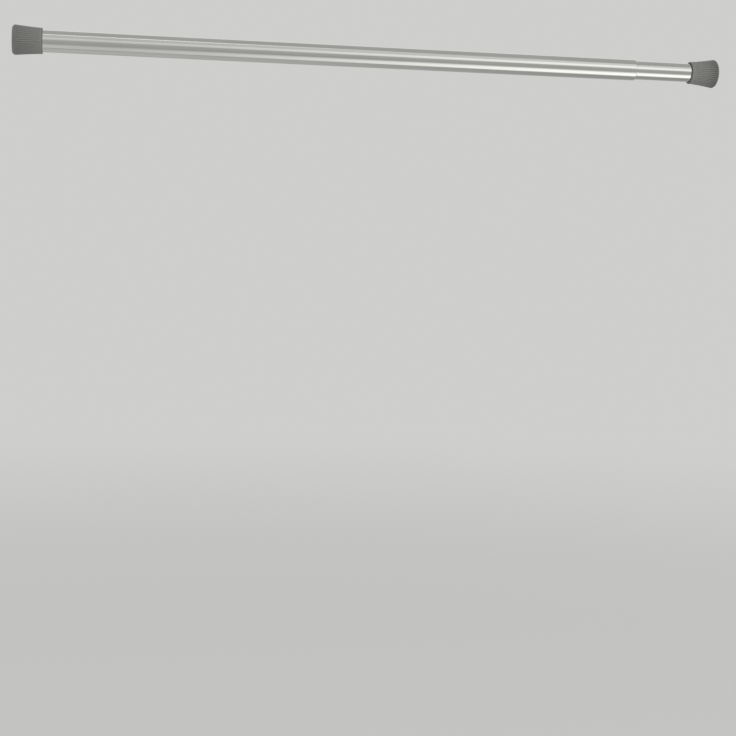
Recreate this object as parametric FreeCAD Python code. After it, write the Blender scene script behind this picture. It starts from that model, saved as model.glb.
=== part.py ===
# Spring tension rod: two telescoping steel tubes that are braced between two facing walls.
# The rod lies along +X with +Z up. Its origin is the middle of the left foot's wall face.
# Sizes are in millimetres and angles in degrees.

import FreeCAD, Part

import math
import os

Vector = FreeCAD.Vector

# Telescoping tubes
INNER_TUBE_DIAMETER = 19.5
INNER_TUBE_WALL = 0.6
INNER_TUBE_SHOWING = 62.0
TELESCOPE_GAP = 0.65
OUTER_TUBE_WALL = 0.6
OUTER_TUBE_LENGTH = 647.0
MOUTH_CLEARANCE = 0.3

# Straight steps that stand for each rounded edge
ROUND_STEPS = 2

# Wall feet
FOOT_LENGTH = 30.0
FOOT_PAD = 8.0
FOOT_WALL_DIAMETER = 30.0
FOOT_MOUTH_WALL = 2.0
FOOT_SOCKET_FIT = 0.05
FOOT_RIM = 2.0
FOOT_MOUTH_BEVEL = 0.8
FOOT_EDGE_ROUND = 3.5
FLARE_POWER = 1.3
FLARE_SPANS = 3
RIB_COUNT = 40
RIB_DEPTH_SHARE = 0.04
RIB_SHY = 0.05

# Twist lock
LOCK_END_SPACE = 28.5
HUB_BORE_GAP = 0.4
HUB_SHOULDER = 6.0
JOURNAL_WALL = 2.15
CAM_OFFSET = 0.6
RING_WIDTH = 14.0
RING_FLOAT = 0.15
RING_PLAY = 0.3
RING_FIT = 0.05
RING_SLOT = 3.0
LOCKED_GAP = 0.03
LUG_HEIGHT = 1.8
LUG_DEPTH = 3.0
LUG_HALF_ANGLE = 14.0
LUG_STOP_ANGLE = 3.0
LUG_CLEARANCE = 0.4
LOCK_WASHER_THICKNESS = 1.5
LOCK_SCREW_DIAMETER = 4.0
LOCK_SCREW_REACH = 9.0
LOCK_SCREW_WEB = 3.4
SCREW_HEAD_RADIUS = 3.9
SCREW_HEAD_HEIGHT = 2.6
SCREW_SLOT_WIDTH = 1.0
SCREW_SLOT_DEPTH = 1.2
SCREW_FIT = 0.05

# Spring and its washer
SPRING_LENGTH = 80.0
SPRING_WIRE = 2.0
SPRING_BORE_GAP = 1.4
SPRING_TURNS = 9.0
SPRING_END_TURNS = 1.0
SPRING_RAMP_TURNS = 0.5
SPRING_END_GAP = 0.15
SPRING_WIRE_SIDES = 6
SPRING_STEPS_PER_TURN = 10
PILOT_LENGTH = 8.0
PILOT_GAP = 0.4
THRUST_WASHER_THICKNESS = 1.0
THRUST_WASHER_FIT = 0.1
THRUST_WASHER_BORE_GAP = 0.5
WASHER_FLOAT = 0.05

# Shaft, guide plug and the shaft's end stop
SHAFT_SIDE = 6.0
SHAFT_FIT = 0.05
SHAFT_SLIDE_GAP = 0.1
SHAFT_THREAD_DIAMETER = 5.0
SHAFT_THREAD_TAIL = 1.5
PLUG_FLANGE = 6.0
PLUG_SPIGOT = 25.0
PLUG_GUIDE_GAP = 0.2
PLUG_TUBE_FIT = 0.05
BEAD_HALF_WIDTH = 2.0
BEAD_DEPTH = 0.6
BEAD_STEPS = 2
STOP_WASHER_DIAMETER = 14.0
STOP_WASHER_THICKNESS = 1.2
STOP_NUT_FLATS = 8.0
STOP_NUT_HEIGHT = 4.0
STOP_THREAD_FIT = 0.05

# Radii that follow from the sizes above
INNER_RADIUS = INNER_TUBE_DIAMETER / 2
INNER_BORE = INNER_RADIUS - INNER_TUBE_WALL
OUTER_BORE = INNER_RADIUS + TELESCOPE_GAP
OUTER_RADIUS = OUTER_BORE + OUTER_TUBE_WALL
MOUTH_ROUND = OUTER_TUBE_WALL + TELESCOPE_GAP - MOUTH_CLEARANCE
HUB_RADIUS = OUTER_BORE - HUB_BORE_GAP
JOURNAL_RADIUS = SHAFT_SIDE / math.sqrt(2) + CAM_OFFSET + JOURNAL_WALL
RING_RADIUS = OUTER_BORE - RING_PLAY
LOCK_ANGLE = math.degrees(2 * math.asin((RING_PLAY - LOCKED_GAP) / (2 * CAM_OFFSET)))
SPRING_RADIUS = OUTER_BORE - SPRING_BORE_GAP - SPRING_WIRE / 2
PILOT_RADIUS = SPRING_RADIUS - SPRING_WIRE / 2 - PILOT_GAP

# Places along the rod, from the left wall to the right one
OUTER_TUBE_LEFT = FOOT_PAD
OUTER_TUBE_MOUTH = OUTER_TUBE_LEFT + OUTER_TUBE_LENGTH
SCREW_LEFT = OUTER_TUBE_LEFT + LOCK_END_SPACE
LOCK_WASHER_LEFT = SCREW_LEFT + SCREW_HEAD_HEIGHT
JOURNAL_LEFT = LOCK_WASHER_LEFT + LOCK_WASHER_THICKNESS
JOURNAL_LENGTH = RING_WIDTH + 2 * RING_FLOAT
SHAFT_LEFT = JOURNAL_LEFT + LOCK_SCREW_WEB
SHOULDER_LEFT = JOURNAL_LEFT + JOURNAL_LENGTH
SHOULDER_RIGHT = SHOULDER_LEFT + HUB_SHOULDER
THRUST_WASHER_LEFT = SHOULDER_RIGHT + WASHER_FLOAT
SPRING_LEFT = THRUST_WASHER_LEFT + THRUST_WASHER_THICKNESS
SPRING_RIGHT = SPRING_LEFT + SPRING_LENGTH
INNER_TUBE_LEFT = SPRING_RIGHT + PLUG_FLANGE
PLUG_RIGHT = INNER_TUBE_LEFT + PLUG_SPIGOT
STOP_NUT_LEFT = PLUG_RIGHT + STOP_WASHER_THICKNESS
SHAFT_RIGHT = STOP_NUT_LEFT + STOP_NUT_HEIGHT + SHAFT_THREAD_TAIL
RIGHT_FOOT_MOUTH = OUTER_TUBE_MOUTH + INNER_TUBE_SHOWING
RIGHT_WALL = RIGHT_FOOT_MOUTH + FOOT_LENGTH
INNER_TUBE_RIGHT = RIGHT_WALL - FOOT_PAD
BEAD_MIDDLE = INNER_TUBE_LEFT + PLUG_SPIGOT / 2

ROD_AXIS = Vector(1, 0, 0)
ORIGIN = Vector(0, 0, 0)


def at(x, radius):
    """A profile point: its place along the rod and its distance from the axis."""
    return Vector(x, radius, 0)


def flat_face(*corners):
    return Part.Face(Part.makePolygon(corners + corners[:1]))


def turned(*points):
    """A solid of revolution from the corners of its profile."""
    return flat_face(*points).revolve(ORIGIN, ROD_AXIS, 360)


def rounded(x, radius, size, first, last):
    """Profile corners along a round, by its middle, its size and its angles from the rod."""
    corners = []
    for step in range(ROUND_STEPS + 1):
        angle = math.radians(first + (last - first) * step / ROUND_STEPS)
        corners.append(at(x + size * math.cos(angle), radius + size * math.sin(angle)))
    return corners


def beaded(radius):
    """Profile corners along the rolled bead, from left to right, for a wall of this radius."""
    corners = []
    for step in range(BEAD_STEPS + 1):
        share = 2 * step / BEAD_STEPS - 1
        dip = BEAD_DEPTH * (1 + math.cos(math.pi * share)) / 2
        corners.append(at(BEAD_MIDDLE + BEAD_HALF_WIDTH * share, radius - dip))
    return corners


def rod(x, length, radius, z=0.0):
    """A round bar along the rod, with its axis raised by z."""
    return Part.makeCylinder(radius, length, Vector(x, 0, z), ROD_AXIS)


def washer(x, thickness, radius, hole):
    return rod(x, thickness, radius).cut(rod(x, thickness, hole))


def square_bar(x, length, side):
    return Part.makeBox(length, side, side, Vector(x, -side / 2, -side / 2))


def sector(x, length, inner, outer, first, last):
    """A block between two radii and two angles around the cam's own axis."""
    def corner(radius, degrees):
        angle = math.radians(degrees)
        return Vector(x, radius * math.cos(angle), CAM_OFFSET + radius * math.sin(angle))
    middle = (first + last) / 2
    outer_arc = Part.Arc(corner(outer, first), corner(outer, middle), corner(outer, last)).toShape()
    inner_arc = Part.Arc(corner(inner, last), corner(inner, middle), corner(inner, first)).toShape()
    last_side = Part.makeLine(corner(outer, last), corner(inner, last))
    first_side = Part.makeLine(corner(inner, first), corner(outer, first))
    wire = Part.Wire([outer_arc, last_side, inner_arc, first_side])
    return Part.Face(wire).extrude(ROD_AXIS * length)


def outer_tube():
    """Tube with its mouth rolled inwards until it almost meets the inner tube."""
    bend = OUTER_TUBE_MOUTH - MOUTH_ROUND
    lip = OUTER_RADIUS - MOUTH_ROUND
    return turned(
        at(OUTER_TUBE_LEFT, OUTER_BORE),
        at(OUTER_TUBE_LEFT, OUTER_RADIUS),
        *rounded(bend, lip, MOUTH_ROUND, 90, 0),
        *rounded(bend, lip, MOUTH_ROUND - OUTER_TUBE_WALL, 0, 90),
    )


def inner_tube():
    """Tube with a bead rolled into it, which holds the guide plug."""
    return turned(
        at(INNER_TUBE_LEFT, INNER_BORE),
        at(INNER_TUBE_LEFT, INNER_RADIUS),
        *beaded(INNER_RADIUS),
        at(INNER_TUBE_RIGHT, INNER_RADIUS),
        at(INNER_TUBE_RIGHT, INNER_BORE),
        *reversed(beaded(INNER_BORE)),
    )


def rib_outline(x, radius):
    """Corners around the ribs at one place: crests and valleys in turn."""
    pitch = 2 * math.pi / RIB_COUNT
    valley = radius * (1 - RIB_DEPTH_SHARE)
    corners = []
    for rib in range(RIB_COUNT):
        for angle, level in ((pitch * rib, radius), (pitch * (rib + 0.5), valley)):
            corners.append(Vector(x, level * math.cos(angle), level * math.sin(angle)))
    return corners


def ribbed_flare(left, right, wall_radius, mouth_radius):
    """Ribbed trumpet that narrows from the wall to the mouth. The sides of its ribs are flat."""
    outlines = []
    for step in range(FLARE_SPANS + 1):
        share = step / FLARE_SPANS
        radius = mouth_radius + (wall_radius - mouth_radius) * (1 - share) ** FLARE_POWER
        outlines.append(rib_outline(left + (right - left) * share, radius))
    faces = [flat_face(*outlines[0]), flat_face(*outlines[-1])]
    for near, far in zip(outlines, outlines[1:]):
        for side in range(2 * RIB_COUNT):
            faces.append(flat_face(near[side - 1], near[side], far[side], far[side - 1]))
    shell = Part.makeShell(faces)
    shell.sewShape()
    return Part.makeSolid(shell)


def wall_foot(tube_radius):
    """Foot that is pushed over a tube end, with its wall face at zero and its mouth to the right."""
    wall_radius = FOOT_WALL_DIAMETER / 2
    mouth_radius = tube_radius + FOOT_MOUTH_WALL
    socket = tube_radius + FOOT_SOCKET_FIT
    flare_right = FOOT_LENGTH - FOOT_RIM
    pad = turned(
        at(0, 0),
        *rounded(FOOT_EDGE_ROUND, wall_radius - FOOT_EDGE_ROUND, FOOT_EDGE_ROUND, 180, 90),
        at(FOOT_EDGE_ROUND, 0),
    )
    flare = ribbed_flare(FOOT_EDGE_ROUND, flare_right, wall_radius - RIB_SHY, mouth_radius - RIB_SHY)
    rim = rod(flare_right, FOOT_RIM, mouth_radius)
    hollow = turned(
        at(FOOT_PAD, 0),
        at(FOOT_PAD, socket),
        at(FOOT_LENGTH - FOOT_MOUTH_BEVEL, socket),
        at(FOOT_LENGTH, socket + FOOT_MOUTH_BEVEL),
        at(FOOT_LENGTH, 0),
    )
    return pad.fuse([flare, rim]).cut(hollow)


def left_wall_foot():
    return wall_foot(OUTER_RADIUS)


def right_wall_foot():
    foot = wall_foot(INNER_RADIUS)
    foot.rotate(ORIGIN, Vector(0, 0, 1), 180)
    foot.translate(Vector(RIGHT_WALL, 0, 0))
    return foot


def lock_hub():
    """Hub with an off-centre journal for the lock ring, a stop lug and a pilot for the spring."""
    end = SHOULDER_RIGHT + WASHER_FLOAT + THRUST_WASHER_THICKNESS + PILOT_LENGTH
    body = turned(
        at(SHOULDER_LEFT, 0),
        at(SHOULDER_LEFT, HUB_RADIUS),
        at(SHOULDER_RIGHT, HUB_RADIUS),
        at(SHOULDER_RIGHT, PILOT_RADIUS),
        at(end, PILOT_RADIUS),
        at(end, 0),
    )
    journal = rod(JOURNAL_LEFT, JOURNAL_LENGTH, JOURNAL_RADIUS, CAM_OFFSET)
    root = JOURNAL_RADIUS - LUG_HEIGHT
    lug = sector(
        SHOULDER_LEFT - LUG_DEPTH,
        LUG_DEPTH,
        root,
        JOURNAL_RADIUS + LUG_HEIGHT,
        -90 - LUG_HALF_ANGLE,
        -90 + LUG_HALF_ANGLE,
    )
    socket = square_bar(SHAFT_LEFT, end - SHAFT_LEFT, SHAFT_SIDE + 2 * SHAFT_FIT)
    screw_hole = rod(JOURNAL_LEFT, LOCK_SCREW_WEB, LOCK_SCREW_DIAMETER / 2 + SCREW_FIT)
    return body.fuse([journal, lug]).cut(socket.fuse(screw_hole))


def lock_ring():
    """Split ring that the journal presses against the tube's bore when the rod is twisted."""
    left = JOURNAL_LEFT + RING_FLOAT
    bore = JOURNAL_RADIUS + RING_FIT
    notch_depth = LUG_DEPTH + LUG_CLEARANCE - RING_FLOAT
    stop = LUG_HALF_ANGLE + LUG_STOP_ANGLE
    ring = rod(left, RING_WIDTH, RING_RADIUS).cut(rod(left, RING_WIDTH, bore, CAM_OFFSET))
    slot = Part.makeBox(RING_WIDTH, RING_SLOT, RING_RADIUS, Vector(left, -RING_SLOT / 2, 0))
    notch = sector(
        left + RING_WIDTH - notch_depth,
        notch_depth,
        JOURNAL_RADIUS / 2,
        JOURNAL_RADIUS + LUG_HEIGHT + LUG_CLEARANCE,
        -90 - stop - LOCK_ANGLE,
        -90 + stop,
    )
    ring = ring.cut(slot.fuse(notch))
    ring.rotate(Vector(0, 0, CAM_OFFSET), ROD_AXIS, LOCK_ANGLE)
    return ring


def lock_washer():
    hole = LOCK_SCREW_DIAMETER / 2 + SCREW_FIT
    return washer(LOCK_WASHER_LEFT, LOCK_WASHER_THICKNESS, HUB_RADIUS, hole)


def lock_screw():
    """Slotted screw that holds the washer and the hub to the shaft's end."""
    shank = LOCK_SCREW_DIAMETER / 2
    tip = SHAFT_LEFT + LOCK_SCREW_REACH
    body = turned(
        at(SCREW_LEFT, 0),
        at(SCREW_LEFT, SCREW_HEAD_RADIUS),
        at(LOCK_WASHER_LEFT, SCREW_HEAD_RADIUS),
        at(LOCK_WASHER_LEFT, shank),
        at(tip, shank),
        at(tip, 0),
    )
    length = 2 * SCREW_HEAD_RADIUS
    corner = Vector(SCREW_LEFT, -SCREW_SLOT_WIDTH / 2, -SCREW_HEAD_RADIUS)
    return body.cut(Part.makeBox(SCREW_SLOT_DEPTH, SCREW_SLOT_WIDTH, length, corner))


def drive_shaft():
    """Square bar that the hub turns with, threaded inside at the hub and outside at the stop."""
    thread = rod(PLUG_RIGHT, SHAFT_RIGHT - PLUG_RIGHT, SHAFT_THREAD_DIAMETER / 2)
    screw_hole = rod(SHAFT_LEFT, LOCK_SCREW_REACH, LOCK_SCREW_DIAMETER / 2 + SCREW_FIT)
    return square_bar(SHAFT_LEFT, PLUG_RIGHT - SHAFT_LEFT, SHAFT_SIDE).fuse(thread).cut(screw_hole)


def thrust_washer():
    """Washer between the hub's shoulder and the spring, so that they can turn apart."""
    hole = PILOT_RADIUS + THRUST_WASHER_FIT
    return washer(THRUST_WASHER_LEFT, THRUST_WASHER_THICKNESS, OUTER_BORE - THRUST_WASHER_BORE_GAP, hole)


def coil_advance(turn, total, closed, active):
    """Distance along the rod after a number of turns: closed ends with open coils between them."""
    span = total - 2 * SPRING_END_TURNS
    opened = min(max(turn - SPRING_END_TURNS, 0), span)
    if opened < SPRING_RAMP_TURNS:
        grown = opened ** 2 / (2 * SPRING_RAMP_TURNS)
    elif opened > span - SPRING_RAMP_TURNS:
        grown = span - SPRING_RAMP_TURNS - (span - opened) ** 2 / (2 * SPRING_RAMP_TURNS)
    else:
        grown = opened - SPRING_RAMP_TURNS / 2
    return closed * turn + (active - closed) * grown


def wire_outline(x, turn):
    """Outline of the spring's wire at one place on its coil."""
    angle = 2 * math.pi * turn
    outward = Vector(0, math.cos(angle), math.sin(angle))
    corners = []
    for side in range(SPRING_WIRE_SIDES):
        around = 2 * math.pi * (side + 0.5) / SPRING_WIRE_SIDES
        reach = SPRING_RADIUS + SPRING_WIRE / 2 * math.cos(around)
        corners.append(Vector(x + SPRING_WIRE / 2 * math.sin(around), 0, 0) + outward * reach)
    return Part.makePolygon(corners + corners[:1])


def push_spring():
    """Compression spring with closed ends that are ground flat."""
    total = SPRING_TURNS + 2 * SPRING_END_TURNS
    closed = SPRING_WIRE + SPRING_END_GAP
    active = closed + (SPRING_LENGTH - total * closed) / (SPRING_TURNS - SPRING_RAMP_TURNS)
    steps = math.ceil(total * SPRING_STEPS_PER_TURN)
    outlines = []
    for step in range(steps + 1):
        turn = total * step / steps
        outlines.append(wire_outline(SPRING_LEFT + coil_advance(turn, total, closed, active), turn))
    coil = Part.makeLoft(outlines, True, True)
    return coil.common(rod(SPRING_LEFT, SPRING_LENGTH, OUTER_BORE))


def guide_plug():
    """Plug in the inner tube's end: it runs in the outer tube and slides along the shaft."""
    pilot = SPRING_RIGHT - PILOT_LENGTH
    spigot = INNER_BORE - PLUG_TUBE_FIT
    body = turned(
        at(pilot, 0),
        at(pilot, PILOT_RADIUS),
        at(SPRING_RIGHT, PILOT_RADIUS),
        at(SPRING_RIGHT, OUTER_BORE - PLUG_GUIDE_GAP),
        at(INNER_TUBE_LEFT, OUTER_BORE - PLUG_GUIDE_GAP),
        at(INNER_TUBE_LEFT, spigot),
        *beaded(spigot),
        at(PLUG_RIGHT, spigot),
        at(PLUG_RIGHT, 0),
    )
    return body.cut(square_bar(pilot, PLUG_RIGHT - pilot, SHAFT_SIDE + 2 * SHAFT_SLIDE_GAP))


def stop_washer():
    hole = SHAFT_THREAD_DIAMETER / 2 + STOP_THREAD_FIT
    return washer(PLUG_RIGHT, STOP_WASHER_THICKNESS, STOP_WASHER_DIAMETER / 2, hole)


def stop_nut():
    """Hexagon nut on the shaft's threaded end."""
    corners = []
    for side in range(6):
        angle = math.radians(60 * side)
        reach = STOP_NUT_FLATS / math.sqrt(3)
        corners.append(Vector(STOP_NUT_LEFT, reach * math.cos(angle), reach * math.sin(angle)))
    hexagon = flat_face(*corners).extrude(ROD_AXIS * STOP_NUT_HEIGHT)
    return hexagon.cut(rod(STOP_NUT_LEFT, STOP_NUT_HEIGHT, SHAFT_THREAD_DIAMETER / 2 + STOP_THREAD_FIT))


PIECES = (
    outer_tube,
    inner_tube,
    left_wall_foot,
    right_wall_foot,
    lock_hub,
    lock_ring,
    lock_washer,
    lock_screw,
    drive_shaft,
    thrust_washer,
    push_spring,
    guide_plug,
    stop_washer,
    stop_nut,
)

os.makedirs("parts", exist_ok=True)
for piece in PIECES:
    piece().exportStep("parts/" + piece.__name__ + ".step")
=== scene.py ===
"""Looks of a spring tension rod: satin steel tubes, ribbed soft feet and the twist lock inside."""

import math

import bpy
import numpy as np
from bpy.props import FloatProperty, FloatVectorProperty, IntProperty, PointerProperty
from mathutils import Matrix, Vector


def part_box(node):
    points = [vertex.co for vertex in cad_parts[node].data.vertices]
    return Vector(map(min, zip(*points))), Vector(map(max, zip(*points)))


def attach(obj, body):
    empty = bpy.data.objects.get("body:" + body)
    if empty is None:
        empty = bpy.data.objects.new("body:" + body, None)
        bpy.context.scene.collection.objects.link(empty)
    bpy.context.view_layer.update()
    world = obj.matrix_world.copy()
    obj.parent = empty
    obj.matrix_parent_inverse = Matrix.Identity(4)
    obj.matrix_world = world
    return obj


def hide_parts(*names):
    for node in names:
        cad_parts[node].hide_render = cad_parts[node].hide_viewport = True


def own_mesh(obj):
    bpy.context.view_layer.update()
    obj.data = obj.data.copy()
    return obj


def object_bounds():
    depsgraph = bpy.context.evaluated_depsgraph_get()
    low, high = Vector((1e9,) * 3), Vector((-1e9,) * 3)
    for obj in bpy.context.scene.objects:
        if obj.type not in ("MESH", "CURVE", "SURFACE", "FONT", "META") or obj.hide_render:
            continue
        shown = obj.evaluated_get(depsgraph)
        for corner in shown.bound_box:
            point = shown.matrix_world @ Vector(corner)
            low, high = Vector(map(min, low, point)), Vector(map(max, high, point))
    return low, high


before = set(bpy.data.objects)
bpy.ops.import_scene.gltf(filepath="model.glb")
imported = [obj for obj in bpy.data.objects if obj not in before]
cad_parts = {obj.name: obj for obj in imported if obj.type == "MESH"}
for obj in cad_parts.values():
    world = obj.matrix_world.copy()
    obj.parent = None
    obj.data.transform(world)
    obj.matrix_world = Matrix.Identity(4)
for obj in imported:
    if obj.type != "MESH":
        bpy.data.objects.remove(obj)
CAD_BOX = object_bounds()

bl_info = {
    "name": "Spring Tension Rod",
    "version": (1, 0, 0),
    "blender": (4, 5, 0),
    "location": "3D View > Sidebar > Tension Rod",
    "description": "Dresses a spring tension rod and sets up its studio",
    "category": "Object",
}

MM = 0.001
TURN = 2 * math.pi
SMOOTH_ANGLE = 35.0
WIDE_SMOOTH_ANGLE = 50.0
ON_AXIS = 1e-9


# Properties

def length(name, text, default):
    """A size in metres."""
    return FloatProperty(name=name, description=text, default=default, subtype="DISTANCE", unit="LENGTH")


def tint(name, text, default):
    """A linear colour."""
    return FloatVectorProperty(
        name=name, description=text, default=default, subtype="COLOR", size=3, min=0.0, max=1.0
    )


def portion(name, text, default):
    """A portion from none to all."""
    return FloatProperty(name=name, description=text, default=default, min=0.0, max=1.0)


def level(name, text, default):
    """A light level, where one shows a white surface as white."""
    return FloatProperty(name=name, description=text, default=default, min=0.0)


def turn_count(name, text, default, least):
    """A number of turns."""
    return FloatProperty(name=name, description=text, default=default, min=least)


def angle(name, text, default):
    """An angle, kept in radians."""
    return FloatProperty(name=name, description=text, default=math.radians(default), subtype="ANGLE")


class RodTubeLook(bpy.types.PropertyGroup):
    """Sizes and colours of the two tubes."""

    wall: length("Wall", "Thickness of both tubes' sheet", 0.6 * MM)
    mouth_round: length("Mouth round", "Outer round of the rolled mouth", 0.95 * MM)
    bead_half_width: length("Bead half width", "Half the width of the thin tube's rolled bead", 2 * MM)
    bead_depth: length("Bead depth", "Depth of the thin tube's rolled bead", 0.6 * MM)
    steel: tint("Steel", "Colour of the satin steel", (0.52, 0.52, 0.505))
    segments: IntProperty(name="Segments", description="Facets around a tube", default=160, min=24)


class RodFootLook(bpy.types.PropertyGroup):
    """Sizes and colours of the two soft feet."""

    mouth_wall: length("Mouth wall", "Thickness of the foot at its mouth", 2 * MM)
    socket_fit: length("Socket fit", "Gap between the tube and its socket", 0.05 * MM)
    pad: length("Pad", "Thickness between the wall and the tube's end", 8 * MM)
    edge_round: length("Edge round", "Round of the edge that meets the wall", 3.5 * MM)
    rim: length("Rim", "Width of the plain rim at the mouth", 2 * MM)
    lip: length("Lip", "Round of the mouth's lip", 0.8 * MM)
    rib_depth: length("Rib depth", "Depth of the valleys between ribs, at the wall", 0.6 * MM)
    rib_fade: portion("Rib fade", "Share of the rib depth that is left at the mouth", 0.6)
    ribs: IntProperty(name="Ribs", description="Ribs around a foot", default=40, min=12)
    rubber: tint("Rubber", "Colour of the soft grey moulding", (0.245, 0.248, 0.236))
    # The dark colour and the amounts below paint shade onto the rubber: on the mouth's lip, in the valleys
    # between ribs and towards each wall.
    shadow_line: tint("Dark colour", "Colour of the dark lip, valleys and wall edge", (0.07, 0.071, 0.067))
    lip_painted_shade: portion("Lip dark", "How dark the mouth's lip is", 0.6)
    valley_painted_shade: portion("Valley dark", "How dark the valleys between ribs are", 0.45)
    left_shade: portion("Left shade", "How dark the left foot gets at the wall", 0.2)
    right_shade: portion("Right shade", "How dark the right foot gets at the wall", 0.65)
    shaded_length: length("Shaded length", "Length that darkens towards the wall", 14 * MM)


class RodLockLook(bpy.types.PropertyGroup):
    """Sizes and colours of the twist lock, the spring and their fasteners."""

    edge: length("Moulded edge", "Round on the edges of moulded pieces", 0.25 * MM)
    washer_edge: length("Washer edge", "Round on the edges of stamped washers", 0.2 * MM)
    wire: length("Wire", "Thickness of the spring's wire", 2 * MM)
    end_gap: length("End gap", "Gap between the coils of a closed end", 0.15 * MM)
    bore_gap: length("Bore gap", "Gap between the spring and the tube's bore", 1.4 * MM)
    pilot_gap: length("Pilot gap", "Gap between the thrust washer's hole and the wire", 0.3 * MM)
    coil_turns: turn_count("Open turns", "Open turns of the spring", 9.0, 1.0)
    end_turns: turn_count("Closed turns", "Closed turns at each end of the spring", 1.0, 0.0)
    screw_pitch: length("Screw pitch", "Pitch of the lock screw's thread", 0.7 * MM)
    nut_pitch: length("Nut pitch", "Pitch of the stop nut's thread", 0.8 * MM)
    screw_shank: length("Screw shank", "Thread diameter of the lock screw", 4 * MM)
    screw_head: length("Screw head", "Height of the lock screw's head", 2.6 * MM)
    slot_width: length("Slot width", "Width of the lock screw's slot", 1 * MM)
    slot_depth: length("Slot depth", "Depth of the lock screw's slot", 1.2 * MM)
    thread_fit: length("Thread fit", "Gap between a thread and its hole", 0.05 * MM)
    bar_edge: length("Bar edge", "Round on the square shaft's edges", 0.4 * MM)
    stud: length("Stud", "Thread diameter of the shaft's end", 5 * MM)
    white: tint("White nylon", "Colour of the hub and the guide plug", (0.74, 0.72, 0.66))
    black: tint("Black nylon", "Colour of the lock ring", (0.028, 0.029, 0.031))
    zinc: tint("Zinc", "Colour of the plated pieces", (0.60, 0.61, 0.60))
    spring_wire: tint("Spring wire", "Colour of the spring's wire", (0.30, 0.30, 0.31))


class RodStageLook(bpy.types.PropertyGroup):
    """Floor, light and camera."""

    floor_drop: length("Floor drop", "Depth of the floor below the rod", 0.95)
    floor: tint("Floor", "Colour of the plain floor", (0.66, 0.655, 0.64))
    backdrop: tint("Backdrop", "Colour behind the rod and in its reflections", (0.62, 0.62, 0.61))
    fill: level("Fill", "Level of the light from all around", 0.42)
    card_distance: length("Card distance", "Distance of the light cards from the rod", 0.8)
    camera_place: FloatVectorProperty(
        name="Camera place", description="Place of the camera", default=(0.0822, -1.6063, -0.1936),
        subtype="TRANSLATION", unit="LENGTH", size=3
    )
    camera_yaw: angle("Camera yaw", "Turn of the camera to the right", 10.233)
    camera_pitch: angle("Camera pitch", "Tilt of the camera upwards", -4.646)
    camera_roll: angle("Camera roll", "Turn of the camera about its view", 1.583)
    lens: FloatProperty(
        name="Lens", description="Focal length for a 36 mm wide sensor", default=75.28,
        subtype="DISTANCE_CAMERA", unit="CAMERA"
    )


# Shader nodes

class Nodes:
    """Short calls that add linked nodes to a node tree."""

    def __init__(self, tree):
        self.tree = tree
        self.tree.nodes.clear()

    def add(self, kind, settings=None, **inputs):
        """Adds a node. An input is a value or another node's output socket."""
        node = self.tree.nodes.new(kind)
        for key, value in (settings or {}).items():
            setattr(node, key, value)
        for key, value in inputs.items():
            self.feed(node, key.replace("_", " "), value)
        return node

    def feed(self, node, name, value):
        """Sets an input by its name, or by its number where names repeat."""
        socket = node.inputs[int(name)] if name.isdigit() else node.inputs[name]
        if isinstance(value, bpy.types.NodeSocket):
            self.tree.links.new(value, socket)
        elif socket.type == "RGBA":
            socket.default_value = (*value, 1.0)
        else:
            socket.default_value = value

    def math(self, operation, first, second=0.0, clamp=False):
        node = self.add("ShaderNodeMath", {"operation": operation, "use_clamp": clamp})
        self.feed(node, "0", first)
        self.feed(node, "1", second)
        return node.outputs[0]

    def weighted(self, *parts):
        """Sum of outputs, each times its weight."""
        total, *others = [self.math("MULTIPLY", value, weight) for value, weight in parts]
        for other in others:
            total = self.math("ADD", total, other)
        return total

    def span(self, value, low, high, to_low=0.0, to_high=1.0):
        """Maps a value smoothly from one range to another."""
        node = self.add("ShaderNodeMapRange", {"interpolation_type": "SMOOTHSTEP"}, Value=value)
        limits = {"From Min": low, "From Max": high, "To Min": to_low, "To Max": to_high}
        for name, number in limits.items():
            self.feed(node, name, number)
        return node.outputs[0]

    def mix(self, share, first, second, blend="MIX"):
        node = self.add("ShaderNodeMix", {"data_type": "RGBA", "blend_type": blend})
        for number, value in (("0", share), ("6", first), ("7", second)):
            self.feed(node, number, value)
        return node.outputs[2]

    def gained(self, tone, gain):
        """A colour that a gain makes lighter or darker."""
        grey = self.add("ShaderNodeCombineColor", Red=gain, Green=gain, Blue=gain).outputs[0]
        return self.mix(1.0, tone, grey, "MULTIPLY")

    def noise(self, vector, scale, detail=3.0, roughness=0.55):
        values = {"Scale": scale, "Detail": detail, "Roughness": roughness}
        return self.add("ShaderNodeTexNoise", Vector=vector, **values).outputs[0]

    def stretched(self, vector, along, across):
        """Coordinates with one scale along the rod and another across it."""
        node = self.add("ShaderNodeMapping", Vector=vector, Scale=(along, across, across))
        return node.outputs[0]


def node_group(name, inputs, outputs):
    """A new shader node group with named sockets, and its input and output nodes."""
    tree = bpy.data.node_groups.new(name, "ShaderNodeTree")
    for label, kind, default in inputs:
        socket = tree.interface.new_socket(label, in_out="INPUT", socket_type=kind)
        socket.default_value = default
    for label, kind in outputs:
        tree.interface.new_socket(label, in_out="OUTPUT", socket_type=kind)
    nodes = Nodes(tree)
    return tree, nodes, nodes.add("NodeGroupInput").outputs, nodes.add("NodeGroupOutput")


FLOAT = "NodeSocketFloat"
COLOUR = "NodeSocketColor"


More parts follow.
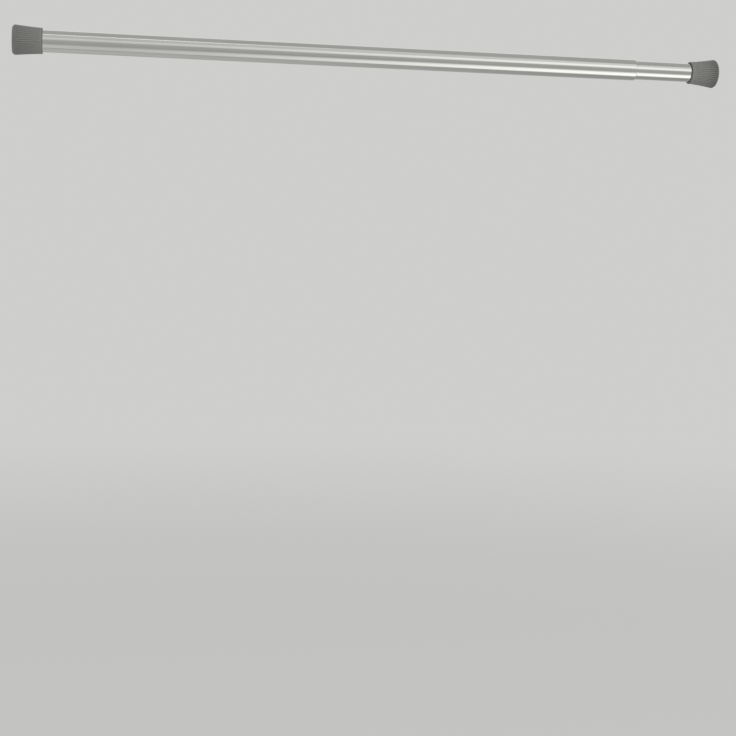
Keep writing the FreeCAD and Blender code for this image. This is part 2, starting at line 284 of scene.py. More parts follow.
def drawn_metal_group():
    """Fine lines along the rod and cloudy tone, for drawn or plated metal."""
    tree, nodes, given, result = node_group(
        "drawn_metal",
        [
            ("Tone", COLOUR, (0.5, 0.5, 0.5, 1.0)),
            ("Contrast", FLOAT, 0.1),
            ("Gloss", FLOAT, 0.2),
            ("Gloss Spread", FLOAT, 0.08),
            ("Line Scale", FLOAT, 1400.0),
            ("Line Stretch", FLOAT, 6.0),
        ],
        [("Color", COLOUR), ("Roughness", FLOAT), ("Height", FLOAT)],
    )
    place = nodes.add("ShaderNodeTexCoord").outputs["Object"]
    fine = given["Line Scale"]
    across = nodes.add("ShaderNodeCombineXYZ", X=given["Line Stretch"], Y=fine, Z=fine)
    scaled = nodes.add("ShaderNodeVectorMath", {"operation": "MULTIPLY"})
    nodes.feed(scaled, "0", place)
    nodes.feed(scaled, "1", across.outputs[0])
    lines = nodes.noise(scaled.outputs[0], scale=1.0, detail=4.0, roughness=0.6)
    broad = nodes.noise(nodes.stretched(place, along=9.0, across=160.0), scale=1.0, detail=2.0)
    cloud = nodes.noise(place, scale=24.0, detail=3.0)
    centred = nodes.math("SUBTRACT", nodes.weighted((lines, 0.5), (broad, 0.3), (cloud, 0.2)), 0.5)
    swing = nodes.math("MULTIPLY", centred, given["Contrast"])
    gain = nodes.math("ADD", nodes.math("MULTIPLY", swing, 2.0), 1.0)
    nodes.feed(result, "Color", nodes.gained(given["Tone"], gain))
    spread = nodes.math("MULTIPLY", centred, given["Gloss Spread"])
    gloss = nodes.math("ADD", given["Gloss"], nodes.math("MULTIPLY", spread, 2.0), True)
    nodes.feed(result, "Roughness", gloss)
    nodes.feed(result, "Height", lines)
    return tree


def moulded_grain_group():
    """Mottled tone, uneven gloss and fine grain, for moulded rubber and nylon."""
    tree, nodes, given, result = node_group(
        "moulded_grain",
        [
            ("Tone", COLOUR, (0.5, 0.5, 0.5, 1.0)),
            ("Contrast", FLOAT, 0.1),
            ("Gloss", FLOAT, 0.5),
            ("Gloss Spread", FLOAT, 0.1),
            ("Grain Scale", FLOAT, 2500.0),
        ],
        [("Color", COLOUR), ("Roughness", FLOAT), ("Height", FLOAT)],
    )
    place = nodes.add("ShaderNodeTexCoord").outputs["Object"]
    grain = nodes.noise(place, scale=given["Grain Scale"], detail=2.0, roughness=0.6)
    cloud = nodes.noise(place, scale=90.0, detail=4.0, roughness=0.6)
    swing = nodes.math("SUBTRACT", nodes.weighted((grain, 0.4), (cloud, 0.6)), 0.5)
    gain = nodes.math("ADD", nodes.math("MULTIPLY", swing, given["Contrast"]), 1.0)
    nodes.feed(result, "Color", nodes.gained(given["Tone"], gain))
    spread = nodes.math("MULTIPLY", swing, given["Gloss Spread"])
    nodes.feed(result, "Roughness", nodes.math("ADD", given["Gloss"], spread, True))
    nodes.feed(result, "Height", grain)
    return tree


# Materials

def group(make, name):
    """A node group that is built once."""
    return bpy.data.node_groups.get(name) or make()


def surface(name, make, group_name, values, bump_depth, shader_values, tone=None):
    """A material whose colour, gloss and bump come from one of the shared groups."""
    made = bpy.data.materials.get(name)
    if made:
        return made
    made = bpy.data.materials.new(name)
    made.use_nodes = True
    nodes = Nodes(made.node_tree)
    effect = nodes.add("ShaderNodeGroup", {"node_tree": group(make, group_name)})
    for key, value in values.items():
        nodes.feed(effect, key, value)
    bump = nodes.add("ShaderNodeBump", Strength=0.5, Distance=bump_depth, Height=effect.outputs["Height"])
    shader = nodes.add("ShaderNodeBsdfPrincipled")
    for key, value in shader_values.items():
        nodes.feed(shader, key, value)
    colour = effect.outputs["Color"]
    nodes.feed(shader, "Base Color", tone(nodes, colour) if tone else colour)
    nodes.feed(shader, "Roughness", effect.outputs["Roughness"])
    nodes.feed(shader, "Normal", bump.outputs[0])
    output = nodes.add("ShaderNodeOutputMaterial", Surface=shader.outputs[0])
    output.is_active_output = True
    return made


def metal(name, tone, contrast, gloss, spread, lines, stretch, bump_depth):
    values = {
        "Tone": tone, "Contrast": contrast, "Gloss": gloss, "Gloss Spread": spread,
        "Line Scale": lines, "Line Stretch": stretch,
    }
    return surface(name, drawn_metal_group, "drawn_metal", values, bump_depth, {"Metallic": 1.0})


# The optional last step mixes painted shade into the colour; only the soft rubber uses it.
def moulding(name, tone, contrast, gloss, spread, grain, bump_depth, specular, shade_painter=None):
    values = {
        "Tone": tone, "Contrast": contrast, "Gloss": gloss, "Gloss Spread": spread, "Grain Scale": grain,
    }
    shader = {"Specular IOR Level": specular}
    return surface(name, moulded_grain_group, "moulded_grain", values, bump_depth, shader, shade_painter)


def satin_steel():
    look = bpy.context.scene.rod_tubes
    return metal(
        "satin_steel", look.steel, contrast=0.2, gloss=0.13, spread=0.09,
        lines=2600.0, stretch=5.0, bump_depth=0.002 * MM,
    )


def zinc_plate():
    look = bpy.context.scene.rod_lock
    return metal(
        "zinc_plate", look.zinc, contrast=0.3, gloss=0.3, spread=0.16,
        lines=900.0, stretch=160.0, bump_depth=0.004 * MM,
    )


def oiled_wire():
    look = bpy.context.scene.rod_lock
    return metal(
        "oiled_wire", look.spring_wire, contrast=0.35, gloss=0.26, spread=0.12,
        lines=700.0, stretch=700.0, bump_depth=0.004 * MM,
    )


def white_nylon():
    look = bpy.context.scene.rod_lock
    return moulding(
        "white_nylon", look.white, contrast=0.1, gloss=0.42, spread=0.2,
        grain=1800.0, bump_depth=0.01 * MM, specular=0.5,
    )


def black_nylon():
    look = bpy.context.scene.rod_lock
    return moulding(
        "black_nylon", look.black, contrast=0.6, gloss=0.36, spread=0.25,
        grain=2200.0, bump_depth=0.012 * MM, specular=0.5,
    )


def soft_rubber():
    """Grey rubber with painted shade mixed into its colour: in the valleys, on the mouth's lip and along
    the wall edge.
    """
    look = bpy.context.scene.rod_feet

    def with_painted_shade(nodes, colour):
        # The dark attribute holds the painted shade, which mixes the rubber towards the dark colour.
        dark = nodes.add("ShaderNodeAttribute", {"attribute_name": "dark"}).outputs["Fac"]
        return nodes.mix(dark, colour, look.shadow_line)

    return moulding(
        "soft_rubber", look.rubber, contrast=0.3, gloss=0.62, spread=0.3,
        grain=3200.0, bump_depth=0.03 * MM, specular=0.35, shade_painter=with_painted_shade,
    )


# Mesh helpers

def new_piece(name, vertices, faces, material, smooth_angle=SMOOTH_ANGLE):
    """An object from vertices and faces, smooth apart from edges above an angle in degrees."""
    mesh = bpy.data.meshes.new(name)
    mesh.from_pydata([tuple(v) for v in vertices], [], faces)
    mesh.validate()
    piece = bpy.data.objects.new(name, mesh)
    bpy.context.scene.collection.objects.link(piece)
    mesh.materials.append(material)
    shade(mesh, smooth_angle)
    return piece


def shade(mesh, smooth_angle):
    mesh.shade_smooth()
    mesh.set_sharp_from_angle(angle=math.radians(smooth_angle))


def fit_piece(piece, body, slot, *nodes):
    """Rides a piece on its body and lets it stand for its solids."""
    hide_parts(*nodes)
    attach(piece, body)


def arc(x, radius, size, first, last, steps=8, tall=None):
    """Profile points along a round: its middle, its size and its angles from the rod in degrees."""
    angles = np.radians(np.linspace(first, last, steps + 1))
    return [(x + size * math.cos(a), radius + (tall or size) * math.sin(a)) for a in angles]


def turned(name, profile, material, segments, relief=None, smooth_angle=SMOOTH_ANGLE):
    """A closed profile of (x, radius) points turned about the rod. Relief lowers the radius by place."""
    rows = np.array(profile, float)
    angles = np.arange(segments) * TURN / segments
    radius = np.repeat(rows[:, 1:2], segments, axis=1)
    if relief:
        radius = radius - relief(rows[:, :1], rows[:, 1:2], angles[None, :])
    along = np.repeat(rows[:, :1], segments, axis=1)
    grid = np.stack([along, radius * np.cos(angles), radius * np.sin(angles)], axis=2)
    numbers = np.arange(len(rows) * segments).reshape(len(rows), segments)
    poles = np.where(rows[:, 1] < ON_AXIS)[0]
    numbers[poles] = numbers[poles, :1]
    faces = []
    for row in range(len(rows)):
        here, following = numbers[row], numbers[(row + 1) % len(rows)]
        for side in range(segments):
            corners = [here[side - 1], here[side], following[side], following[side - 1]]
            kept = [int(c) for n, c in enumerate(corners) if c != corners[n - 1]]
            if len(kept) > 2:
                faces.append(kept)
    used = sorted({corner for face in faces for corner in face})
    place = {corner: number for number, corner in enumerate(used)}
    faces = [[place[corner] for corner in reversed(face)] for face in faces]
    return new_piece(name, grid.reshape(-1, 3)[used], faces, material, smooth_angle)


def combined(piece, tool, operation, smooth_angle=SMOOTH_ANGLE):
    """Adds a closed tool to a piece, or cuts it away, and deletes the tool."""
    change = piece.modifiers.new("change", "BOOLEAN")
    change.operation = operation
    change.solver = "EXACT"
    change.object = tool
    bpy.context.view_layer.update()
    evaluated = piece.evaluated_get(bpy.context.evaluated_depsgraph_get())
    mesh = bpy.data.meshes.new_from_object(evaluated)
    piece.modifiers.clear()
    piece.data = mesh
    bpy.data.objects.remove(tool)
    shade(mesh, smooth_angle)


def prism(name, low, high, outline, material):
    """A closed prism along the rod over an outline of (y, z) points."""
    count = len(outline)
    vertices = [(x, y, z) for x in (low, high) for y, z in outline]
    faces = [[n, (n + 1) % count, (n + 1) % count + count, n + count] for n in range(count)]
    faces += [list(range(count))[::-1], list(range(count, 2 * count))]
    return new_piece(name, vertices, faces, material)


def rounded_square(side, edge, steps=4):
    """Outline of a square bar with rounded edges."""
    points = []
    for quarter in range(4):
        middle = math.radians(45 + 90 * quarter)
        reach = (side / 2 - edge) * math.sqrt(2)
        for step in range(steps + 1):
            turn = middle + math.radians(90 * (step / steps - 0.5))
            y = reach * math.cos(middle) + edge * math.cos(turn)
            points.append((y, reach * math.sin(middle) + edge * math.sin(turn)))
    return points


def thread_relief(low, high, pitch, depth, steepness=1.25, flat=0.125):
    """Depth of a single-start thread between two places, fading out at its ends."""
    def relief(x, radius, angles):
        phase = np.mod(x / pitch - angles / TURN, 1.0)
        tooth = np.clip(np.abs(2 * phase - 1) * steepness - flat, 0.0, 1.0)
        ends = np.clip(np.minimum(x - low, high - x) / pitch, 0.0, 1.0)
        return depth * tooth * ends
    return relief


def reach(node):
    """Largest distance of a node from the rod's axis."""
    low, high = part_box(node)
    return max(high.y, high.z, -low.y, -low.z)


# Pieces

class ROD_OT_tubes(bpy.types.Operator):
    """Turn the two tubes with their rolled mouth and bead"""

    bl_idname = "tension_rod.tubes"
    bl_label = "Tubes"

    MOUTH_STEPS = 12
    BEAD_ROWS = 17

    def execute(self, context):
        look = context.scene.rod_tubes
        low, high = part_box("outer_tube")
        outer = reach("outer_tube")
        bore = outer - look.wall
        bend = high.x - look.mouth_round
        lip = outer - look.mouth_round
        profile = [(low.x, bore), (low.x, outer)]
        profile += arc(bend, lip, look.mouth_round, 90, 0, self.MOUTH_STEPS)
        profile += arc(bend, lip, look.mouth_round - look.wall, 0, 90, self.MOUTH_STEPS)
        tube = turned("outer_tube_satin", profile, satin_steel(), look.segments)
        fit_piece(tube, "outer", "tube_steel", "outer_tube")

        low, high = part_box("inner_tube")
        inner = reach("inner_tube")
        bore = inner - look.wall
        middle = (low.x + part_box("guide_plug")[1].x) / 2
        dips = []
        for place in np.linspace(-1, 1, self.BEAD_ROWS):
            dip = look.bead_depth * (1 + math.cos(math.pi * place)) / 2
            dips.append((middle + look.bead_half_width * place, dip))
        profile = [(low.x, bore), (low.x, inner)]
        profile += [(x, inner - dip) for x, dip in dips]
        profile += [(high.x, inner), (high.x, bore)]
        profile += [(x, bore - dip) for x, dip in reversed(dips)]
        tube = turned("inner_tube_satin", profile, satin_steel(), look.segments)
        fit_piece(tube, "inner", "tube_steel", "inner_tube")
        return {"FINISHED"}


class ROD_OT_feet(bpy.types.Operator):
    """Mould the two ribbed feet"""

    bl_idname = "tension_rod.feet"
    bl_label = "Feet"

    FLARE_ROWS = 40
    FLARE_POWER = 1.3
    CREST_WIDTH = 1.6
    RIB_START = 0.8 * MM
    RIB_RUN_OUT = 2.5 * MM
    SOCKET_BEVEL = 0.1 * MM
    SOCKET_MARGIN = 0.2 * MM
    EDGE_STEPS = 10
    LIP_STEPS = 8
    VALLEY_POWER = 2
    SHADE_POWER = 1.5
    SAMPLES_PER_RIB = 12

    def foot(self, look, name, node, tube_radius, wall_shade):
        """A foot with its wall face at zero and its mouth towards +X."""
        low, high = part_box(node)
        size = high.x - low.x
        wall = reach(node)
        mouth = tube_radius + look.mouth_wall
        socket = tube_radius + look.socket_fit
        left = look.edge_round
        right = size - look.rim
        shares = np.linspace(0, 1, self.FLARE_ROWS + 1)
        radii = mouth + (wall - mouth) * (1 - shares) ** self.FLARE_POWER
        profile = [(0.0, 0.0), (0.0, wall - look.edge_round)]
        profile += arc(left, wall - look.edge_round, look.edge_round, 180, 90, self.EDGE_STEPS)[1:-1]
        profile += list(zip(left + (right - left) * shares, radii))
        profile += arc(size - look.lip, mouth - look.lip, look.lip, 90, 0, self.LIP_STEPS)
        profile += [(size, socket + self.SOCKET_BEVEL), (size - self.SOCKET_BEVEL, socket)]
        profile += [(look.pad, socket), (look.pad, 0.0)]

        def ribs(x, radius, angles):
            along = np.clip((x - left) / (right - left), 0.0, 1.0)
            start = np.clip((x - left) / self.RIB_START, 0.0, 1.0)
            run_out = np.clip((right - x) / self.RIB_RUN_OUT, 0.0, 1.0)
            outside = radius > socket + self.SOCKET_MARGIN
            valley = (0.5 - 0.5 * np.cos(look.ribs * angles)) ** self.CREST_WIDTH
            depth = look.rib_depth * (1 + (look.rib_fade - 1) * along)
            return depth * start * run_out * outside * valley

        segments = look.ribs * self.SAMPLES_PER_RIB
        piece = turned(name, profile, soft_rubber(), segments, ribs, WIDE_SMOOTH_ANGLE)
        self.paint_shade(piece, size, look, wall_shade)
        return piece

    def paint_shade(self, piece, size, look, wall_shade):
        """Stores how much painted shade each point gets: on the lip, along the wall edge and between the
        ribs.
        """
        mesh = piece.data
        places = np.empty(3 * len(mesh.vertices))
        mesh.vertices.foreach_get("co", places)
        x = places[0::3]
        turns = np.arctan2(places[2::3], places[1::3])
        valley = (0.5 - 0.5 * np.cos(look.ribs * turns)) ** self.VALLEY_POWER
        ribbed = np.clip((size - look.rim - x) / (0.5 * size), 0.0, 1.0) * (x > 0.5 * look.edge_round)
        lip = np.clip((x - (size - look.lip)) / (0.5 * look.lip), 0.0, 1.0)
        shade = np.clip((look.shaded_length - x) / look.shaded_length, 0.0, 1.0)
        dark = look.lip_painted_shade * lip + wall_shade * shade ** self.SHADE_POWER
        dark += look.valley_painted_shade * valley * ribbed
        # The dark attribute carries this painted shade to the rubber material.
        attribute = mesh.attributes.new("dark", "FLOAT", "POINT")
        attribute.data.foreach_set("value", np.clip(dark, 0.0, 1.0).astype(np.float32))

    def execute(self, context):
        look = context.scene.rod_feet
        wide, thin = reach("outer_tube"), reach("inner_tube")
        # Each foot gets its own amount of painted shade towards its wall; the right one is darker.
        left = self.foot(look, "left_foot_rubber", "left_wall_foot", wide, look.left_shade)
        fit_piece(left, "outer", "foot_rubber", "left_wall_foot")
        right = self.foot(look, "right_foot_rubber", "right_wall_foot", thin, look.right_shade)
        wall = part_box("right_wall_foot")[1].x
        right.data.transform(Matrix.Translation((wall, 0, 0)) @ Matrix.Rotation(math.pi, 4, "Z"))
        fit_piece(right, "inner", "foot_rubber", "right_wall_foot")
        return {"FINISHED"}


class ROD_OT_lock_mouldings(bpy.types.Operator):
    """Finish the hub, the split ring and the guide plug"""

    bl_idname = "tension_rod.lock_mouldings"
    bl_label = "Lock mouldings"

    WELD_GAP = 0.001 * MM
    EDGE_SEGMENTS = 2
    EDGE_ANGLE = 50.0

    def execute(self, context):
        look = context.scene.rod_lock
        finishes = {"lock_hub": white_nylon(), "guide_plug": white_nylon(), "lock_ring": black_nylon()}
        for node, material in finishes.items():
            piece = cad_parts[node]
            piece.data.materials.clear()
            piece.data.materials.append(material)
            weld = piece.modifiers.new("weld", "WELD")
            weld.merge_threshold = self.WELD_GAP
            bevel = piece.modifiers.new("edges", "BEVEL")
            bevel.width = look.edge
            bevel.segments = self.EDGE_SEGMENTS
            bevel.limit_method = "ANGLE"
            bevel.angle_limit = math.radians(self.EDGE_ANGLE)
            bevel.use_clamp_overlap = True
            bevel.harden_normals = True
        return {"FINISHED"}


class ROD_OT_spring(bpy.types.Operator):
    """Coil the compression spring with its closed, ground ends"""

    bl_idname = "tension_rod.spring"
    bl_label = "Spring"

    STEPS_PER_TURN = 48
    WIRE_SIDES = 14
    RAMP_TURNS = 0.5
    SOLID_SHARE = 0.6875

    def advance(self, turn, total, closed, active, look):
        """Distance along the rod after some turns: closed ends with open coils between them."""
        span = total - 2 * look.end_turns
        opened = np.clip(turn - look.end_turns, 0.0, span)
        ramp = self.RAMP_TURNS
        grown = np.where(opened < ramp, opened ** 2 / (2 * ramp), opened - ramp / 2)
        grown = np.where(opened > span - ramp, span - ramp - (span - opened) ** 2 / (2 * ramp), grown)
        return closed * turn + (active - closed) * grown

    def execute(self, context):
        look = context.scene.rod_lock
        low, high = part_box("push_spring")
        size = high.x - low.x
        wire = look.wire / 2
        coil = reach("outer_tube") - context.scene.rod_tubes.wall - look.bore_gap - wire
        total = look.coil_turns + 2 * look.end_turns
        closed = look.wire + look.end_gap
        active = closed + (size - total * closed) / (look.coil_turns - self.RAMP_TURNS)
        turns = np.linspace(0.0, total, int(total * self.STEPS_PER_TURN) + 1)
        along = low.x + self.advance(turns, total, closed, active, look)
        around = np.arange(self.WIRE_SIDES) * TURN / self.WIRE_SIDES
        out = coil + wire * np.cos(around)[None, :]
        x = np.clip(along[:, None] + wire * np.sin(around)[None, :], low.x, high.x)
        turned_by = (turns * TURN)[:, None]
        points = np.stack([x, out * np.cos(turned_by), out * np.sin(turned_by)], axis=2).reshape(-1, 3)
        sides = self.WIRE_SIDES
        faces = []
        for ring in range(len(turns) - 1):
            for side in range(sides):
                here, after = ring * sides + side, ring * sides + (side + 1) % sides
                faces.append([here, here + sides, after + sides, after])
        last = (len(turns) - 1) * sides
        faces += [list(range(sides)), list(range(last, last + sides))[::-1]]
        piece = new_piece("push_spring_wire", points, faces, oiled_wire(), WIDE_SMOOTH_ANGLE)
        fit_piece(piece, "lock", "spring_steel", "push_spring")
        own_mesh(piece)
        return {"FINISHED"}


class ROD_OT_fasteners(bpy.types.Operator):
    """Make the washers, the lock screw, the shaft and its nut"""

    bl_idname = "tension_rod.fasteners"
    bl_label = "Shaft and fasteners"

    SEGMENTS = 72
    ROWS_PER_PITCH = 8
    THREAD_SHARE = 0.61
    CROWN_SHARE = 0.55
    THREAD_EDGE = 0.9
    WASHER_STEPS = 4
    CROWN_STEPS = 8
    CROWN_ROUND = 1.6 * MM
    NECK = 0.6 * MM
    SCREW_TIP = 0.8 * MM
    STUD_TIP = 0.6 * MM
    STUD_OVERLAP = 2 * MM
    STUD_ROOT = 0.3 * MM
    STUD_START = 0.5 * MM
    NUT_SIDES = 6
    NUT_BEVEL = 0.4 * MM
    NUT_SLOPE = 30.0
    NUT_SMOOTH_ANGLE = 20.0
    CUT_PAST = 1 * MM

    def washer(self, look, node, body, hole):
        low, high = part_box(node)
        edge = look.washer_edge
        outer = reach(node)
        profile = arc(low.x + edge, outer - edge, edge, 180, 90, self.WASHER_STEPS)
        profile += arc(high.x - edge, outer - edge, edge, 90, 0, self.WASHER_STEPS)
        profile += [(high.x, hole), (low.x, hole)]
        piece = turned(node + "_plated", profile, zinc_plate(), self.SEGMENTS)
        fit_piece(piece, body, "plated_steel", node)

    def thread_rows(self, low, high, radius, pitch):
        count = max(2, int(self.ROWS_PER_PITCH * (high - low) / pitch))
        return [(x, radius) for x in np.linspace(low, high, count)]

    def screw(self, look):
        low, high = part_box("lock_screw")
        head = reach("lock_screw")
        shank = look.screw_shank / 2
        seat = low.x + look.screw_head
        crown = self.CROWN_SHARE * look.screw_head
        neck, tip = seat + self.NECK, high.x - self.SCREW_TIP
        profile = [(low.x, 0.0)]
        top = head - self.CROWN_ROUND
        profile += arc(low.x + crown, top, crown, 180, 90, self.CROWN_STEPS, self.CROWN_ROUND)
        profile += [(seat, head), (seat, shank)]
        profile += self.thread_rows(neck, tip, shank, look.screw_pitch)
        profile += [(high.x, shank - self.SCREW_TIP), (high.x, 0.0)]
        relief = thread_relief(neck, high.x, look.screw_pitch, self.THREAD_SHARE * look.screw_pitch)

        def on_shank(x, radius, angles):
            return relief(x, radius, angles) * ((x > seat) & (radius > self.THREAD_EDGE * shank))

        piece = turned("lock_screw_plated", profile, zinc_plate(), self.SEGMENTS, on_shank)
        half, end = look.slot_width / 2, 2 * head
        outline = [(-half, -end), (half, -end), (half, end), (-half, end)]
        slot = prism("slot", low.x - self.CUT_PAST, low.x + look.slot_depth, outline, zinc_plate())
        combined(piece, slot, "DIFFERENCE")
        fit_piece(piece, "lock", "plated_steel", "lock_screw")

    def shaft(self, look):
        low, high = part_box("drive_shaft")
        side = 2 * high.y
        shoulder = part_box("stop_washer")[0].x
        stud = look.stud / 2
        outline = rounded_square(side, look.bar_edge)
        bar = prism("drive_shaft_plated", low.x, shoulder, outline, zinc_plate())
        root, tip = shoulder - self.STUD_OVERLAP, high.x - self.STUD_TIP
        profile = [(root, 0.0), (root, stud - self.STUD_ROOT)]
        profile += self.thread_rows(shoulder - self.STUD_START, tip, stud, look.nut_pitch)
        profile += [(high.x, stud - self.STUD_TIP), (high.x, 0.0)]
        relief = thread_relief(shoulder, high.x, look.nut_pitch, self.THREAD_SHARE * look.nut_pitch)

        def on_stud(x, radius, angles):
            return relief(x, radius, angles) * (radius > self.THREAD_EDGE * stud)

        combined(bar, turned("stud", profile, zinc_plate(), self.SEGMENTS, on_stud), "UNION")
        bore = look.screw_shank / 2 + look.thread_fit
        start, depth = low.x - self.CUT_PAST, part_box("lock_screw")[1].x
        hole = [(start, 0.0), (start, bore), (depth, bore), (depth, 0.0)]
        combined(bar, turned("hole", hole, zinc_plate(), self.SEGMENTS), "DIFFERENCE")
        fit_piece(bar, "lock", "plated_steel", "drive_shaft")

    def nut(self, look):
        low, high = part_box("stop_nut")
        corner = reach("stop_nut")
        flats = corner * math.sqrt(3) / 2
        turns = [TURN * side / self.NUT_SIDES for side in range(self.NUT_SIDES)]
        outline = [(corner * math.cos(turn), corner * math.sin(turn)) for turn in turns]
        piece = prism("stop_nut_plated", low.x, high.x, outline, zinc_plate())
        slope = (corner - flats) * math.tan(math.radians(self.NUT_SLOPE))
        bore, bevel = look.stud / 2 + look.thread_fit, self.NUT_BEVEL
        round_bar = [
            (low.x, bore + bevel), (low.x, flats), (low.x + slope, corner), (high.x - slope, corner),
            (high.x, flats), (high.x, bore + bevel), (high.x - bevel, bore), (low.x + bevel, bore),
        ]
        chamfers = turned("chamfers", round_bar, zinc_plate(), self.SEGMENTS)
        combined(piece, chamfers, "INTERSECT", self.NUT_SMOOTH_ANGLE)
        fit_piece(piece, "lock", "plated_steel", "stop_nut")

    def execute(self, context):
        look = context.scene.rod_lock
        screw_hole = look.screw_shank / 2 + look.thread_fit
        bore = reach("outer_tube") - context.scene.rod_tubes.wall
        pilot = bore - look.bore_gap - look.wire - look.pilot_gap
        self.washer(look, "lock_washer", "lock", screw_hole)
        self.washer(look, "thrust_washer", "washer", pilot)
        self.washer(look, "stop_washer", "lock", look.stud / 2 + look.thread_fit)
        self.screw(look)
        self.shaft(look)
        self.nut(look)
        return {"FINISHED"}


class ROD_OT_stage(bpy.types.Operator):
    """Lay the floor, hang the light cards and place the camera"""

    bl_idname = "tension_rod.stage"
    bl_label = "Stage"

    FLOOR_RADIUS = 14.0
    FLOOR_SIDES = 96
    FLOOR_NOISE_SCALE = 3.0
    FLOOR_NOISE_DETAIL = 4.0
    FADE_START = 1.2
    FADE_END = 4.5
    NEAR_GLOW = 0.72
    FLOOR_DARKER = 0.9
    FLOOR_MOTTLE = 0.08
    CARD_MARGIN = 5.0
    CARD_STEPS = 12
    CARD_TINT = (1.0, 1.0, 0.985)
    CARD_SPACING = 0.02
    RAMP_START = 0.05
    RAMP_PAST = 0.35
    SENSOR_WIDTH = 36.0
    CLIP_START = 0.01
    CLIP_END = 100.0
    # Angles above the horizon in front, and soft widths at the lowest and the highest angle, in degrees.
    # Levels where the ramp along the rod starts and ends. Lights says if matt surfaces are lit too.
    CARDS = {
        "high_line": dict(span=(63.5, 69.5), soft=(1.0, 1.0), levels=(2.0, 0.4), lights=True),
        "upper_soft": dict(span=(38.0, 67.0), soft=(8.0, 6.0), levels=(0.82, 1.12), lights=True),
        "upper_bright": dict(span=(5.0, 47.0), soft=(12.0, 14.0), levels=(1.0, 1.68), lights=True),
        "lower_bright": dict(span=(-82.0, -24.0), soft=(8.0, 28.0), levels=(0.88, 1.95), lights=False),
        "low_soft": dict(span=(-150.0, -83.0), soft=(12.0, 6.0), levels=(0.74, 0.5), lights=False),
        "rear_soft": dict(span=(140.0, 163.0), soft=(6.0, 6.0), levels=(1.2, 1.2), lights=True),
    }

    def world(self, look):
        """Even fill light, with the backdrop's own colour for the camera and in reflections."""
        world = bpy.data.worlds.new("studio")
        bpy.context.scene.world = world
        world.use_nodes = True
        nodes = Nodes(world.node_tree)
        path = nodes.add("ShaderNodeLightPath").outputs
        seen = nodes.math("MAXIMUM", path["Is Camera Ray"], path["Is Glossy Ray"])
        seen = nodes.math("MAXIMUM", seen, path["Is Transmission Ray"])
        colour = nodes.mix(seen, (look.fill,) * 3, look.backdrop)
        sky = nodes.add("ShaderNodeBackground", Color=colour, Strength=1.0)
        nodes.add("ShaderNodeOutputWorld", Surface=sky.outputs[0])

    def floor(self, look):
        """Round floor that fades into the backdrop's colour."""
        material = bpy.data.materials.new("studio_floor")
        material.use_nodes = True
        nodes = Nodes(material.node_tree)
        place = nodes.add("ShaderNodeTexCoord").outputs["Object"]
        away = nodes.add("ShaderNodeVectorMath", {"operation": "LENGTH"})
        nodes.feed(away, "0", place)
        fade = nodes.span(away.outputs["Value"], self.FADE_START, self.FADE_END, self.NEAR_GLOW, 1.0)
        tone = nodes.noise(place, self.FLOOR_NOISE_SCALE, self.FLOOR_NOISE_DETAIL)
        darker = tuple(self.FLOOR_DARKER * part for part in look.floor)
        colour = nodes.mix(nodes.math("MULTIPLY", tone, self.FLOOR_MOTTLE), look.floor, darker)
        matt = nodes.add("ShaderNodeBsdfDiffuse", Color=colour)
        glow = nodes.add("ShaderNodeEmission", Color=look.backdrop, Strength=1.0)
        both = nodes.add("ShaderNodeMixShader")
        for number, value in (("0", fade), ("1", matt.outputs[0]), ("2", glow.outputs[0])):
            nodes.feed(both, number, value)
        nodes.add("ShaderNodeOutputMaterial", Surface=both.outputs[0])
        bpy.ops.mesh.primitive_circle_add(
            vertices=self.FLOOR_SIDES, radius=self.FLOOR_RADIUS, fill_type="NGON"
        )
        floor = bpy.context.object
        floor.name = "studio_floor"
        low, high = CAD_BOX
        floor.location = ((low.x + high.x) / 2, 0.0, -look.floor_drop)
        floor.data.materials.append(material)

    def card(self, name, distance, span, soft, levels, lights):
        """A long curved light card with soft edges, whose level may change along the rod."""
        low, high = CAD_BOX
        ends = (low.x - self.CARD_MARGIN, high.x + self.CARD_MARGIN)
        points = []
        for turn in np.radians(np.linspace(*span, self.CARD_STEPS + 1)):
            for x in ends:
                points.append((x, -distance * math.cos(turn), distance * math.sin(turn)))
        faces = [[2 * n, 2 * n + 2, 2 * n + 3, 2 * n + 1] for n in range(self.CARD_STEPS)]
        material = bpy.data.materials.new(name)
        material.use_nodes = True
        nodes = Nodes(material.node_tree)
        place = nodes.add("ShaderNodeTexCoord").outputs["Object"]
        along, across, up = nodes.add("ShaderNodeSeparateXYZ", Vector=place).outputs
        turn = nodes.math("ARCTAN2", up, nodes.math("MULTIPLY", across, -1.0))
        lowest, highest = (math.radians(edge) for edge in span)
        rise = nodes.span(turn, lowest, lowest + math.radians(soft[0]))
        fall = nodes.span(turn, highest - math.radians(soft[1]), highest, 1.0, 0.0)
        front = nodes.math("SUBTRACT", 1.0, nodes.add("ShaderNodeNewGeometry").outputs["Backfacing"])
        cover = nodes.math("MULTIPLY", nodes.math("MULTIPLY", rise, fall), front)
        clear = nodes.add("ShaderNodeBsdfTransparent")
        strength = nodes.span(along, low.x + self.RAMP_START, high.x + self.RAMP_PAST, *levels)
        glow = nodes.add("ShaderNodeEmission", Color=self.CARD_TINT, Strength=strength)
        both = nodes.add("ShaderNodeMixShader")
        for number, value in (("0", cover), ("1", clear.outputs[0]), ("2", glow.outputs[0])):
            nodes.feed(both, number, value)
        nodes.add("ShaderNodeOutputMaterial", Surface=both.outputs[0])
        card = new_piece(name, points, faces, material)
        card.visible_camera = False
        card.visible_shadow = False
        card.visible_diffuse = lights

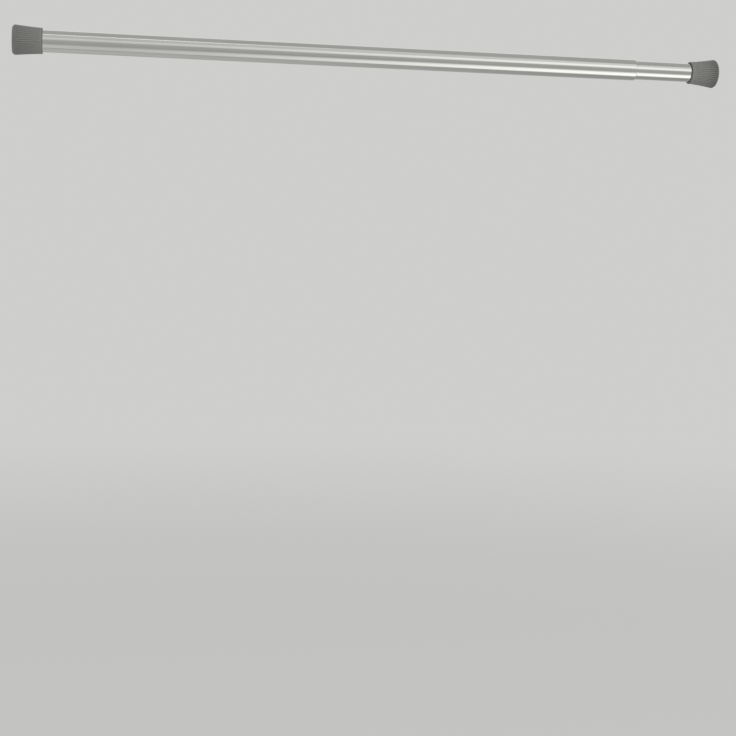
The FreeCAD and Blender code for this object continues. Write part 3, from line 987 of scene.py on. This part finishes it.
    def camera(self, look):
        """Camera by its yaw, pitch and roll."""
        yaw, pitch, roll = look.camera_yaw, look.camera_pitch, look.camera_roll
        flat = math.cos(pitch)
        ahead = Vector((math.sin(yaw) * flat, math.cos(yaw) * flat, math.sin(pitch)))
        level_right = Vector((math.cos(yaw), -math.sin(yaw), 0.0))
        level_up = level_right.cross(ahead)
        right = math.cos(roll) * level_right + math.sin(roll) * level_up
        up = -math.sin(roll) * level_right + math.cos(roll) * level_up
        data = bpy.data.cameras.new("camera")
        data.lens = look.lens
        data.sensor_width = self.SENSOR_WIDTH
        data.clip_start = self.CLIP_START
        data.clip_end = self.CLIP_END
        camera = bpy.data.objects.new("camera", data)
        turn = Matrix((right, up, -ahead)).transposed().to_4x4()
        camera.matrix_world = Matrix.Translation(look.camera_place) @ turn
        bpy.context.scene.collection.objects.link(camera)
        bpy.context.scene.camera = camera

    def execute(self, context):
        look = context.scene.rod_stage
        context.scene.view_settings.view_transform = "Standard"
        self.world(look)
        self.floor(look)
        for number, (name, values) in enumerate(self.CARDS.items()):
            self.card(name, look.card_distance + self.CARD_SPACING * number, **values)
        self.camera(look)
        return {"FINISHED"}


# Panel and registration

LOOKS = {
    "rod_tubes": RodTubeLook,
    "rod_feet": RodFootLook,
    "rod_lock": RodLockLook,
    "rod_stage": RodStageLook,
}
OPERATORS = (
    ROD_OT_tubes,
    ROD_OT_feet,
    ROD_OT_lock_mouldings,
    ROD_OT_spring,
    ROD_OT_fasteners,
    ROD_OT_stage,
)


class ROD_PT_panel(bpy.types.Panel):
    """Lists the rod's pieces and their sizes and colours"""

    bl_idname = "ROD_PT_panel"
    bl_label = "Tension Rod"
    bl_space_type = "VIEW_3D"
    bl_region_type = "UI"
    bl_category = "Tension Rod"

    def draw(self, context):
        for operator in OPERATORS:
            self.layout.operator(operator.bl_idname)
        for name, look in LOOKS.items():
            box = self.layout.box()
            for key in look.__annotations__:
                box.prop(getattr(context.scene, name), key)


CLASSES = (*LOOKS.values(), *OPERATORS, ROD_PT_panel)


def register():
    for item in CLASSES:
        bpy.utils.register_class(item)
    for name, look in LOOKS.items():
        setattr(bpy.types.Scene, name, PointerProperty(type=look))


def unregister():
    for name in LOOKS:
        delattr(bpy.types.Scene, name)
    for item in reversed(CLASSES):
        bpy.utils.unregister_class(item)


def main():
    register()
    bpy.ops.tension_rod.tubes()
    bpy.ops.tension_rod.feet()
    bpy.ops.tension_rod.lock_mouldings()
    bpy.ops.tension_rod.spring()
    bpy.ops.tension_rod.fasteners()
    bpy.ops.tension_rod.stage()


if __name__ == "__main__":
    main()
